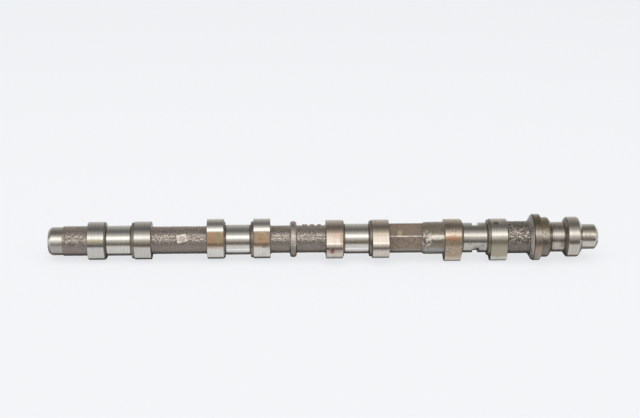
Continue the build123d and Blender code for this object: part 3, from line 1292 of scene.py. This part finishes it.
    def _is_side(self, face: bmesh.types.BMFace, middle: Vector, skin: Skin) -> bool:
        """Tell whether a face is dull: a side face, a shoulder or the thrust collar's back.

        Args:
            face: The face.
            middle: Its middle.
            skin: The finish of its stretch.

        Returns:
            True for a dull face.
        """
        sizes = self.sizes
        steep, square = 0.6, 0.97
        if skin in (Skin.CAST, Skin.DRIVE_BAR, Skin.COLLAR, Skin.FLANGE, Skin.BOSS):
            return False
        if skin is Skin.TURNED and sizes.thrust_back - 0.1 < middle.x < self.thrust[0] - 0.1:
            return True
        ground = skin in (Skin.JOURNAL, Skin.JOURNAL_OILED)
        on_shoulder = ground and off_axis(middle) > sizes.journal + 0.5
        return on_shoulder or abs(face.normal.x) > (steep if ground else square)

    def _roughen(self, mesh: Mesh) -> None:
        """Move the cast skin's points in and out a little, fading out at each stretch's ends.

        Args:
            mesh: The skin.
        """
        zones = self.zones()
        hidden, on_ring, on_flange = 9.0, 13.5, 18.0
        for point in mesh.verts:
            away = off_axis(point.co)
            zone = self._zone_at(zones, point.co.x)
            if away < hidden or zone is None or not zone.relief:
                continue
            fade = smoothed(min(point.co.x - zone.start, zone.end - point.co.x), 0.0, 0.9)
            waves = 0.55 * shake(point.co, 5.5, 3.1) + 0.6 * shake(point.co, 2.0, 8.4)
            pits = smoothed(shake(point.co, 1.5, 21.0), 0.40, 0.85)
            push = zone.relief * fade * (waves - 0.6 * pits)
            if zone.skin is Skin.CAST and away > on_ring:
                push *= 0.4
            if away > on_flange:
                push = min(push, 0.0)
            point.co += Vector((0.0, point.co.y, point.co.z)).normalized() * push

    def _groove(self, mesh: Mesh) -> None:
        """Sink the two part grooves into the last cylinder's journal.

        Args:
            mesh: The skin.
        """
        centre, share = self.sizes.cylinders[-1], self.groove_floor / self.sizes.journal
        for low, high in self.groove_arcs:
            middle, reach = (low + high) / 2, (high - low) / 2
            patch = []
            for face in mesh.faces:
                spot = face.calc_center_median()
                aside = (roll_of(spot) - middle + 180.0) % 360.0 - 180.0
                if abs(spot.x - centre) < self.groove_half and abs(aside) < reach and off_axis(spot) > 11.0:
                    patch.append(face)
            sunk = bmesh.ops.extrude_face_region(mesh, geom=patch)["geom"]
            bmesh.ops.scale(mesh, vec=(1.0, share, share), verts=mesh_parts(sunk, bmesh.types.BMVert))
            bmesh.ops.delete(mesh, geom=[face for face in patch if face.is_valid], context="FACES")


# ---------------------------------------------------------------- lobes


@dataclass
class LobeSet:
    """The eight lobes: a base circle and a nose circle with flat flanks between them."""

    sizes: ShaftSizes = ShaftSizes()
    base_radius: float = 15.15
    nose_radius: float = 10.4
    nose_offset: float = 8.2
    edge: float = 0.5
    steps: int = 180
    pair_skins: tuple[Skin, ...] = (Skin.LOBES_TAIL, Skin.LOBES_TAN, Skin.LOBES_CREAM)
    last_skins: tuple[Skin, ...] = (Skin.LOBE_ORANGE, Skin.LOBE_KHAKI)

    def lobe(self, station: float, roll: float, skin: Skin) -> Mesh:
        """Build one lobe in its place.

        Args:
            station: Its centre along the axis.
            roll: Where its nose points.
            skin: The finish of its running face.

        Returns:
            A closed shell in millimetres.
        """
        mesh = bmesh.new()
        base = self.base_radius
        bmesh.ops.create_circle(mesh, cap_ends=True, segments=self.steps, radius=base, matrix=ACROSS)
        reach = (base - self.nose_radius) / self.nose_offset
        nose = [point for point in mesh.verts if point.co.z / base > reach]
        share = self.nose_radius / base
        bmesh.ops.scale(mesh, vec=(1.0, share, share), verts=nose)
        bmesh.ops.translate(mesh, vec=(0.0, 0.0, self.nose_offset), verts=nose)
        move(mesh, -self.sizes.half_lobe)
        draw_out(mesh, 2 * self.sizes.half_lobe)
        along, steep = edges_along(mesh, 0.001), 0.6
        round_edges(mesh, [edge for edge in mesh.edges if edge not in along], self.edge, 3, clamp=True)
        bmesh.ops.recalc_face_normals(mesh, faces=mesh.faces[:])
        for face in mesh.faces:
            paint([face], Skin.SIDE if abs(face.normal.x) > steep else skin)
        turn(mesh, roll_matrix(roll))
        move(mesh, station)
        crease(mesh)
        return mesh

    def build(self, whole: Mesh) -> None:
        """Put all eight lobes into the casting.

        Args:
            whole: The casting.
        """
        skins = [skin for skin in self.pair_skins for side in (-1, 1)] + list(self.last_skins)
        for number, (station, skin) in enumerate(zip(self.sizes.lobes, skins)):
            add_to(whole, self.lobe(station, self.sizes.nose_rolls[number // 2], skin))


# ---------------------------------------------------------------- hexagon and cast marks


@dataclass
class Hexagon:
    """The hexagon for a holding wrench, with its corners on the parting plane and a cast skin."""

    sizes: ShaftSizes = ShaftSizes()
    across_flats: float = 22.0
    edge_round: float = 0.38
    relief: float = 0.07
    lap: float = 0.3
    rings: int = 30
    columns: int = 13

    def build(self, whole: Mesh) -> None:
        """Put the hexagon into the casting.

        Args:
            whole: The casting.
        """
        mesh = bmesh.new()
        start, end = self.sizes.hexagon
        radius = self.across_flats / math.sqrt(3.0)
        bmesh.ops.create_circle(mesh, cap_ends=True, segments=6, radius=radius, matrix=ACROSS)
        corner = roll_of(mesh.verts[:][0].co)
        turn(mesh, roll_matrix(self.sizes.parting - corner))
        move(mesh, start - self.lap)
        draw_out(mesh, end - start + self.lap)
        round_edges(mesh, edges_along(mesh, 1.0), self.edge_round, 3)
        bmesh.ops.subdivide_edges(mesh, edges=edges_along(mesh, 1.0), cuts=self.rings, use_grid_fill=True)
        across = [edge for edge in mesh.edges if edge.calc_length() > 5.0]
        bmesh.ops.subdivide_edges(mesh, edges=across, cuts=self.columns, use_grid_fill=True)
        bmesh.ops.recalc_face_normals(mesh, faces=mesh.faces[:])
        for point in mesh.verts:
            inside = smoothed(min(point.co.x - start, end - point.co.x), 0.0, 0.8)
            waves = shake(point.co, 4.5, 5.0) + 0.5 * shake(point.co, 1.6, 9.0)
            point.co += Vector((0.0, point.co.y, point.co.z)).normalized() * self.relief * inside * waves
        close_shell(whole, mesh, Skin.HEXAGON)


@dataclass
class CastMarks:
    """What the mould leaves on the bars: the flash, a plain pad and three plain strips."""

    sizes: ShaftSizes = ShaftSizes()
    flash_width: float = 0.9
    flash_height: float = 0.35
    flash_waver: float = 0.22
    flash_pitch: float = 0.9
    flash_edge: float = 0.3
    flash_gap: float = 0.4
    depth: float = 3.0
    pad_place: tuple[float, float] = (-319.5, 63.0)
    pad_size: tuple[float, float, float] = (8.4, 6.6, 0.85)
    pad_edge: float = 0.55
    pad_skew: float = 12.0
    strips_centre: tuple[float, float] = (-216.2, -21.0)
    strip_lengths: tuple[float, ...] = (4.0, 3.4, 2.6)
    strip_pitch: float = 5.7
    strip_size: tuple[float, float] = (7.0, 0.8)
    strip_edge: float = 0.6

    def build(self, whole: Mesh) -> None:
        """Put the marks into the casting.

        Args:
            whole: The casting.
        """
        sizes = self.sizes
        bar, side = sizes.middle_bar, sizes.lobe_side
        *size, height = self.pad_size
        self._block(whole, self.pad_place, bar + height, size, self.pad_edge, self.pad_skew, Skin.PAD)
        centre, roll = self.strips_centre
        width, height = self.strip_size
        for number, length in enumerate(self.strip_lengths):
            place = (centre + (number - 1) * self.strip_pitch, roll)
            self._block(whole, place, bar + height, (length, width), self.strip_edge, 0.0, Skin.CAST)
        runs = (
            (sizes.tail_bar[0] + 0.3, side(0, -1), sizes.tail_bar[1]),
            (side(1, 1), side(2, -1), bar),
            (side(3, 1), side(4, -1), bar),
            (side(7, 1), sizes.flange[0], sizes.drive_bar),
        )
        for start, end, radius in runs:
            for half_turn in (0.0, 180.0):
                self._flash(whole, start, end, radius, sizes.parting + half_turn)

    def _block(
        self,
        whole: Mesh,
        place: tuple[float, float],
        top: float,
        size: tuple[float, float],
        edge: float,
        skew: float,
        skin: Skin,
    ) -> None:
        """Put one low raised block on a bar.

        Args:
            whole: The casting.
            place: Station and roll of its middle.
            top: How far its top is from the axis.
            size: Length along the axis and width round it.
            edge: How far its edges are rounded.
            skew: How far it is turned on the bar, in degrees.
            skin: Its finish.
        """
        mesh = bmesh.new()
        bmesh.ops.create_cube(mesh, size=1.0)
        bmesh.ops.scale(mesh, vec=(*size, self.depth), verts=mesh.verts[:])
        upright = [line for line in mesh.edges if abs(line.verts[0].co.z - line.verts[1].co.z) > 1.0]
        corner_share, rim_share = 1.6, 0.6
        round_edges(mesh, upright, edge * corner_share, 4)
        level = self.depth / 2 - 0.01
        rim = [line for line in mesh.edges if min(point.co.z for point in line.verts) > level]
        round_edges(mesh, rim, edge * rim_share, 3)
        move(mesh, 0.0, top - self.depth / 2)
        turn(mesh, Matrix.Rotation(math.radians(skew), 3, "Z"))
        turn(mesh, roll_matrix(place[1]))
        move(mesh, place[0])
        close_shell(whole, mesh, skin)

    def _flash(self, whole: Mesh, start: float, end: float, radius: float, roll: float) -> None:
        """Put one uneven line of flash along a bar.

        Args:
            whole: The casting.
            start: The station that it begins at.
            end: The station that it ends at.
            radius: The bar's radius.
            roll: Where it lies on the bar.
        """
        mesh = bmesh.new()
        bmesh.ops.create_cube(mesh, size=1.0)
        size = (end - start - self.flash_gap, self.flash_width, 2 * self.flash_height)
        bmesh.ops.scale(mesh, vec=size, verts=mesh.verts[:])
        shortest = 4.0
        top = [edge for edge in edges_along(mesh, shortest) if edge.verts[0].co.z > 0.0]
        round_edges(mesh, top, self.flash_edge, 2)
        cuts = int((end - start) / self.flash_pitch)
        bmesh.ops.subdivide_edges(mesh, edges=edges_along(mesh, shortest), cuts=cuts, use_grid_fill=True)
        move(mesh, (start + end) / 2, radius)
        for point in mesh.verts:
            along = Vector((point.co.x, roll, 0.0))
            point.co.y += self.flash_waver * shake(along, 3.0, 2.0)
            if point.co.z > radius:
                rise = self.flash_height * 0.7 * shake(along, 2.2, 6.0)
                point.co.z = max(radius + 0.02, point.co.z + rise)
        turn(mesh, roll_matrix(roll))
        close_shell(whole, mesh, Skin.CAST, 60.0)


# ---------------------------------------------------------------- holes


@dataclass
class NoseThread:
    """The thread in the nose's tapped hole: one ridge wound inside the bore."""

    start: float = 11.6
    end: float = -12.4
    pitch: float = 1.5
    root: float = 5.02
    crest: float = 4.25
    steps: int = 32

    def build(self, whole: Mesh) -> None:
        """Put the ridge into the casting.

        Args:
            whole: The casting.
        """
        mesh = bmesh.new()
        half, flat = self.pitch * 0.46, 0.1
        shape = ((-half, self.root), (-flat, self.crest), (flat, self.crest), (half, self.root))
        points = [mesh.verts.new((self.start + along, 0.0, radius)) for along, radius in shape]
        face = mesh.faces.new(points)
        turns = (self.start - self.end) / self.pitch
        bmesh.ops.spin(
            mesh,
            geom=[face, *face.edges, *points],
            cent=(0, 0, 0),
            axis=(1, 0, 0),
            dvec=(-self.pitch / self.steps, 0, 0),
            angle=math.tau * turns,
            steps=int(turns * self.steps),
            use_merge=False,
            use_duplicate=True,
        )
        bmesh.ops.remove_doubles(mesh, verts=mesh.verts[:], dist=0.002)
        close_shell(whole, mesh, Skin.BORE, 50.0)


@dataclass
class OilHole:
    """The cross drilling between the two oil grooves."""

    station: float = -84.4
    roll: float = 119.0
    radius: float = 1.2
    reach: float = 30.0

    def cut(self, piece: bpy.types.Object) -> None:
        """Drill the hole through a piece and keep the result as its mesh.

        Args:
            piece: The piece.
        """
        mesh = bmesh.new()
        radii = {"radius1": self.radius, "radius2": self.radius}
        bmesh.ops.create_cone(mesh, cap_ends=True, segments=32, depth=self.reach, **radii)
        turn(mesh, roll_matrix(self.roll))
        move(mesh, self.station)
        for face in mesh.faces:
            face.material_index = Skin.BORE.value
        drill_mesh = settle(mesh, "drill")
        for material in piece.data.materials:
            drill_mesh.materials.append(material)
        drill = show("drill", drill_mesh)
        cutting = piece.modifiers.new("oil_hole", "BOOLEAN")
        cutting.operation = "DIFFERENCE"
        cutting.solver = "EXACT"
        cutting.object = drill
        bpy.context.view_layer.update()
        drilled = bpy.data.meshes.new_from_object(piece.evaluated_get(bpy.context.evaluated_depsgraph_get()))
        piece.modifiers.remove(cutting)
        old = piece.data
        piece.data = drilled
        bpy.data.meshes.remove(old)
        bpy.data.objects.remove(drill)
        bpy.data.meshes.remove(drill_mesh)


# ---------------------------------------------------------------- the casting


@dataclass
class Camshaft:
    """The whole casting as one piece."""

    name: str = "camshaft_casting"

    def build(self) -> bpy.types.Object:
        """Build the piece and dress it.

        Returns:
            The piece, in metres and in its place.
        """
        effects = Effects()
        materials = [FINISHES[skin].material(effects) for skin in Skin]
        piece = show(self.name, settle(ShaftBody().build(), self.name))
        for material in materials:
            piece.data.materials.append(material)
        OilHole().cut(piece)
        whole = bmesh.new()
        whole.from_mesh(piece.data)
        for part in (LobeSet(), Hexagon(), CastMarks(), NoseThread()):
            part.build(whole)
        bmesh.ops.scale(whole, vec=(MM, MM, MM), verts=whole.verts[:])
        whole.to_mesh(piece.data)
        whole.free()
        piece.data.name = self.name
        even = piece.modifiers.new("even_shading", "WEIGHTED_NORMAL")
        even.keep_sharp = True
        even.weight = 50
        return piece


# ---------------------------------------------------------------- the studio


@dataclass
class Studio:
    """A pale floor under the shaft, a soft sky with a bright band in front, and one soft lamp above."""

    tail_rest: tuple[float, float] = (-0.3942, -0.01515)
    drive_rest: tuple[float, float] = (-0.0392, -0.0186)
    middle: float = -0.2064
    floor_reach: float = 14.0
    floor_colour: Colour = (0.80, 0.815, 0.835)
    glow_colour: Colour = (0.885, 0.90, 0.924)
    glow_share: float = 0.80
    # A dark card in front and a dark bed under the shaft, seen only in reflections: a painted dark
    # reflection and a painted contact shadow.
    card_reach: tuple[float, float] = (-1.2, -0.055)
    card_half: float = 2.0
    card_colour: Colour = (0.13, 0.125, 0.12)
    bed_reach: tuple[float, float] = (-0.0092, 0.022)
    bed_half: float = 0.26
    bed_colour: Colour = (0.30, 0.29, 0.285)
    lamp_power: float = 26.0
    lamp_size: tuple[float, float] = (2.4, 1.6)
    lamp_place: tuple[float, float, float] = (-0.25, -0.35, 1.8)
    lamp_aim: tuple[float, float, float] = (-0.21, 0.0, 0.0)
    sky_strength: float = 1.9
    sky_tint: Colour = (1.0, 0.985, 0.96)
    sky_angles: tuple[int, ...] = (0, 6, 12, 25, 31, 43, 53, 60, 73, 86, 105, 122, 143, 162, 180)
    sky_levels: tuple[float, ...] = (
        0.17, 0.22, 0.40, 0.42, 1.0, 1.0, 0.58, 0.37, 0.225, 0.105, 0.115, 0.20, 0.30, 0.38, 0.45,
    )

    def level(self, x: float) -> float:
        """Height of the floor at a station: it falls so that it touches the shaft at both its rests."""
        (tail_x, tail_z), (drive_x, drive_z) = self.tail_rest, self.drive_rest
        return tail_z + (drive_z - tail_z) / (drive_x - tail_x) * (x - tail_x)

    def build(self) -> None:
        """Set out the floor, a dark card and a dark bed seen only in the metal (a painted dark reflection
        and a painted contact shadow), the sky and the lamp.
        """
        reach = self.floor_reach
        floor = self._sheet("floor", reach, (-reach, reach), 0.0)
        floor.data.materials.append(self._paper("floor_paper", self.floor_colour, self.glow_share))
        # Seen only by glossy rays: the card paints a dark reflection in front of the shaft, and the bed
        # paints the contact shadow under it into the metal.
        card = self._sheet("dark_reflection_card", self.card_half, self.card_reach, 0.001)
        bed = self._sheet("contact_shadow_bed", self.bed_half, self.bed_reach, 0.0002)
        for sheet, colour in ((card, self.card_colour), (bed, self.bed_colour)):
            sheet.data.materials.append(self._paper(f"{sheet.name}_paper", colour, 0.0))
            for kind in ("camera", "diffuse", "transmission", "volume_scatter", "shadow"):
                setattr(sheet, f"visible_{kind}", False)
        self._sky()
        self._lamp()

    def _sheet(self, name: str, half: float, deep: tuple[float, float], lift: float) -> bpy.types.Object:
        """Lay one flat sheet parallel to the floor.

        Args:
            name: Its name.
            half: Its reach along X, each way from the shaft's middle.
            deep: Its reach along Y.
            lift: How far it lies above the floor.

        Returns:
            The sheet's object.
        """
        mesh = bmesh.new()
        bmesh.ops.create_grid(mesh, x_segments=1, y_segments=1, size=0.5)
        for point in mesh.verts:
            x = self.middle + (-half if point.co.x < 0 else half)
            y = deep[0] if point.co.y < 0 else deep[1]
            point.co = Vector((x, y, self.level(x) + lift))
        return show(name, settle(mesh, name))

    def _paper(self, name: str, colour: Colour, glow: float) -> bpy.types.Material:
        """Make a dull paper with a faint tooth.

        Args:
            name: The material's name.
            colour: The paper's colour.
            glow: How much of the backdrop's even paleness is laid over it, where it is seen or mirrored.

        Returns:
            The material.
        """
        made, bench, shader, place = start_material(name)
        tooth = bench.speckle(place, 2.2, 3.0, 0.5)
        paler = tuple(min(channel * 1.03, 1.0) for channel in colour)
        bench.feed(shader.inputs["Base Color"], bench.blend(tooth, colour, paler))
        shader.inputs["Roughness"].default_value = 0.9
        shader.inputs["Specular IOR Level"].default_value = 0.1
        if glow:
            path = bench.node("ShaderNodeLightPath").outputs
            seen = bench.maths("MAXIMUM", path["Is Camera Ray"], path["Is Glossy Ray"])
            seen = bench.maths("MAXIMUM", seen, path["Is Transmission Ray"])
            even = bench.node("ShaderNodeEmission", {"Color": self.glow_colour}).outputs["Emission"]
            feeds = {0: bench.times(seen, glow), 1: shader.outputs["BSDF"], 2: even}
            laid = bench.node("ShaderNodeMixShader", feeds)
            end = next(node for node in made.node_tree.nodes if node.type == "OUTPUT_MATERIAL")
            bench.feed(end.inputs["Surface"], laid.outputs["Shader"])
        return made

    def _sky(self) -> None:
        """Fill the world with soft light: a bright band in front, dark above and paler behind."""
        world = bpy.data.worlds.new("studio_sky")
        bpy.context.scene.world = world
        world.use_nodes = True
        world.node_tree.nodes.clear()
        bench = Bench(world.node_tree)
        way = bench.node("ShaderNodeTexCoord").outputs["Generated"]
        split = bench.node("ShaderNodeSeparateXYZ", {0: way})
        front = bench.times(split.outputs[1], -1.0)
        height = bench.maths("DIVIDE", bench.maths("ARCTAN2", split.outputs[2], front), math.pi)
        ramp = bench.node("ShaderNodeValToRGB", {"Fac": height})
        marks = ramp.color_ramp.elements
        while len(marks) < len(self.sky_levels):
            marks.new(0.5)
        for mark, angle, level in zip(marks, self.sky_angles, self.sky_levels):
            mark.position = angle / 180.0
            mark.color = (*shade(self.sky_tint, level), 1.0)
        feeds = {"Color": ramp.outputs["Color"], "Strength": self.sky_strength}
        backdrop = bench.node("ShaderNodeBackground", feeds)
        bench.node("ShaderNodeOutputWorld", {"Surface": backdrop.outputs["Background"]})

    def _lamp(self) -> None:
        """Hang a broad soft lamp above that lights the floor without showing in the metal."""
        data = bpy.data.lights.new("soft_overhead", "AREA")
        data.shape = "RECTANGLE"
        data.size, data.size_y = self.lamp_size
        data.energy = self.lamp_power
        made = show("soft_overhead", data)
        made.location = Vector(self.lamp_place)
        aim = Vector(self.lamp_aim) - made.location
        made.rotation_mode = "QUATERNION"
        made.rotation_quaternion = aim.to_track_quat("-Z", "Y")
        made.visible_glossy = False


@dataclass
class Viewpoint:
    """The camera: above the front of the shaft, with the shaft across the frame."""

    foot_station: float = -0.2436
    distance: float = 1.1397
    elevation: float = 21.0
    lens: float = 80.0
    sensor: float = 36.0
    frame_width: float = 640.0
    foot_offset: tuple[float, float] = (-42.5, -29.8)
    axis_slope: float = 0.51

    def build(self) -> None:
        """Place the camera and make it the scene's own."""
        high = math.radians(self.elevation)
        back = Vector((0.0, -math.cos(high), math.sin(high)))
        foot = Vector((self.foot_station, 0.0, 0.0))
        focal = self.lens / self.sensor * self.frame_width
        right, up = Vector((1.0, 0.0, 0.0)), Vector((0.0, math.sin(high), math.cos(high)))
        yaw = Matrix.Rotation(math.atan2(self.foot_offset[0], focal), 3, up)
        ahead, right = yaw @ -back, yaw @ right
        pitch = Matrix.Rotation(-math.atan2(self.foot_offset[1], focal), 3, right)
        ahead, up = pitch @ ahead, pitch @ up
        tilt = Matrix.Rotation(math.radians(self.axis_slope), 3, ahead)
        right, up = tilt @ right, tilt @ up
        data = bpy.data.cameras.new("viewpoint")
        data.sensor_fit = "HORIZONTAL"
        data.sensor_width, data.lens = self.sensor, self.lens
        data.clip_start, data.clip_end = 0.01, 100.0
        camera = show("viewpoint", data)
        turned = Matrix((right, up, -ahead)).transposed()
        camera.matrix_world = Matrix.Translation(foot + back * self.distance) @ turned.to_4x4()
        bpy.context.scene.camera = camera


def main() -> None:
    """Load the frame, build and dress the casting, and set out the studio."""
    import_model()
    piece = Camshaft().build()
    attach(piece, "root")
    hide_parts("camshaft")
    log.info("%s: %d faces", piece.name, len(piece.data.polygons))
    Studio().build()
    Viewpoint().build()
    view_settings = bpy.context.scene.view_settings
    view_settings.view_transform = "Standard"


if __name__ == "__main__":
    logging.basicConfig(level=logging.INFO, format="%(name)s: %(message)s")
    main()
